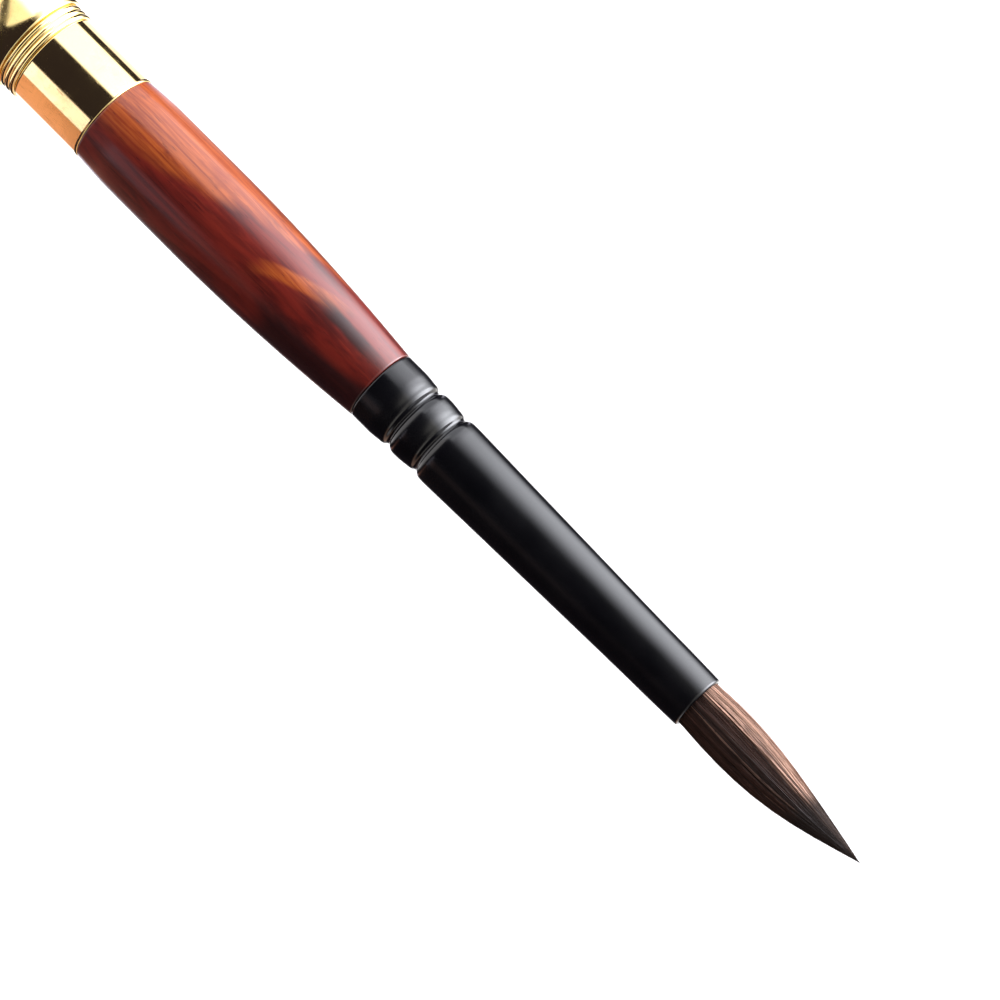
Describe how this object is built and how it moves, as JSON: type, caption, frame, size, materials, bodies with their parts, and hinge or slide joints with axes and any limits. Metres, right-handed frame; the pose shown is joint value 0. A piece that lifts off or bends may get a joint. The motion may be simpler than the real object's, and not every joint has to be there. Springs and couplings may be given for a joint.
{
  "type": "calligraphy brush",
  "caption": "Pen-style calligraphy brush with a rosewood grip and barrel, gold fittings, a screw-in black brush head and a twist-filled ink converter.",
  "frame": {"origin": "centre of the tail finial's flat end face", "axes": "+Z along the brush's axis, from the tail to the tip of the hair; X and Y are across it"},
  "size_m": [0.0132, 0.0132, 0.1955],
  "materials": {
    "gold": "mirror-polished gold plate",
    "brass": "turned, unpolished",
    "rosewood": "red rosewood under clear gloss lacquer",
    "black_lacquer": "gloss black",
    "black_plastic": "semi-gloss black",
    "hair": "brown weasel-type hair, dark at the point",
    "rubber": "black seal rubber",
    "white_plastic": "matte",
    "clear_plastic": "clear, tinted by ink",
    "resin": "set amber resin",
    "thread": "waxed cotton",
    "feed_fibre": "bonded fibre rod"
  },
  "bodies": {
    "barrel": {"tail_finial": "gold", "tail_ring": "gold", "tail_plug": "brass", "finial_stud": "brass", "barrel_sleeve": "rosewood", "barrel_liner": "brass", "bell_collar": "gold", "mouth_bush": "brass"},
    "grip": {"beaded_ring": "gold", "centre_collar": "gold", "grip_sleeve": "rosewood", "grip_liner": "brass", "coupling_spigot": "brass", "coupling_o_ring": "rubber", "feed_nozzle": "white_plastic", "ink_tube": "white_plastic", "ink_reservoir": "clear_plastic", "converter_collar": "gold"},
    "knob": {"converter_knob": "black_plastic"},
    "piston": {"piston_rod": "white_plastic", "piston_seal": "rubber"},
    "head_seal": {"head_o_ring": "rubber"},
    "head": {"ferrule": "black_lacquer", "feed_core": "feed_fibre", "root_resin": "resin", "binding_thread": "thread", "tuft_root": "hair"},
    "tuft": {"tuft_point": "hair"}
  },
  "joints": [
    {"name": "grip_pull", "type": "slide", "parent": "barrel", "child": "grip", "axis": [0, 0, 1], "range_m": [0, 0.064]},
    {"name": "knob_spin", "type": "hinge", "parent": "grip", "child": "knob", "pos_m": [0, 0, 0.03], "axis": [0, 0, 1], "range_deg": [0, 1440]},
    {"name": "piston_draw", "type": "slide", "parent": "grip", "child": "piston", "axis": [0, 0, -1], "range_m": [0, 0.018]},
    {"name": "head_travel", "type": "slide", "parent": "grip", "child": "head_seal", "axis": [0, 0, 1], "range_m": [0, 0.005]},
    {"name": "head_unscrew", "type": "hinge", "parent": "head_seal", "child": "head", "pos_m": [0, 0, 0.13], "axis": [0, 0, 1], "range_deg": [0, 1800]},
    {"name": "tuft_bend", "type": "hinge", "parent": "head", "child": "tuft", "pos_m": [0, 0, 0.178], "axis": [0, 1, 0], "range_deg": [-30, 30], "stiffness_Nm_per_rad": 0.0005}
  ],
  "couplings": [
    {"joint": "knob_spin", "follows": "piston_draw", "rad_per_m": 1396.3},
    {"joint": "head_unscrew", "follows": "head_travel", "rad_per_m": 6283.2}
  ]
}
